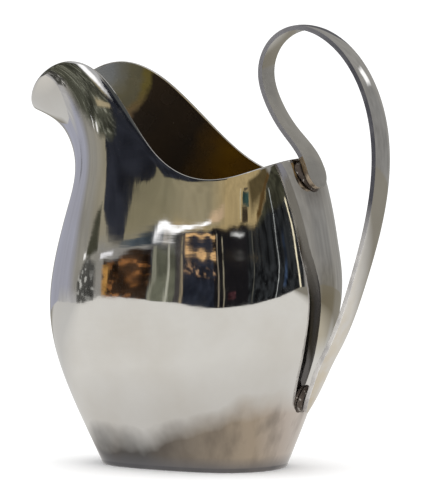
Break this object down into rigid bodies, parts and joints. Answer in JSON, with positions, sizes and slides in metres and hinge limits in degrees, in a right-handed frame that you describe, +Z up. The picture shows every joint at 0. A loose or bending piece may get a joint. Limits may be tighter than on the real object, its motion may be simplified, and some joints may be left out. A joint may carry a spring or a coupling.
{
  "type": "silver milk jug",
  "caption": "Plain oval silver milk jug: swelling body with a broad scooped pouring lip, flat soldered base and a high looped strap handle.",
  "frame": {"origin": "middle of the flat underside of the base", "axes": "+Z up, the lip towards -X, the handle towards +X, and the jug mirrored on the XZ plane"},
  "size_m": [0.1224, 0.0638, 0.1375],
  "materials": {
    "polished_silver": "polished, with fine scratches and a light tarnish",
    "worn_silver": "scuffed from standing",
    "dark_solder": "dull, tarnished"
  },
  "bodies": {
    "root": {"body_shell": "polished_silver", "base_plate": "worn_silver", "handle_strap": "polished_silver", "upper_handle_solder": "dark_solder", "lower_handle_solder": "dark_solder", "base_solder_seam": "dark_solder"}
  },
  "joints": []
}
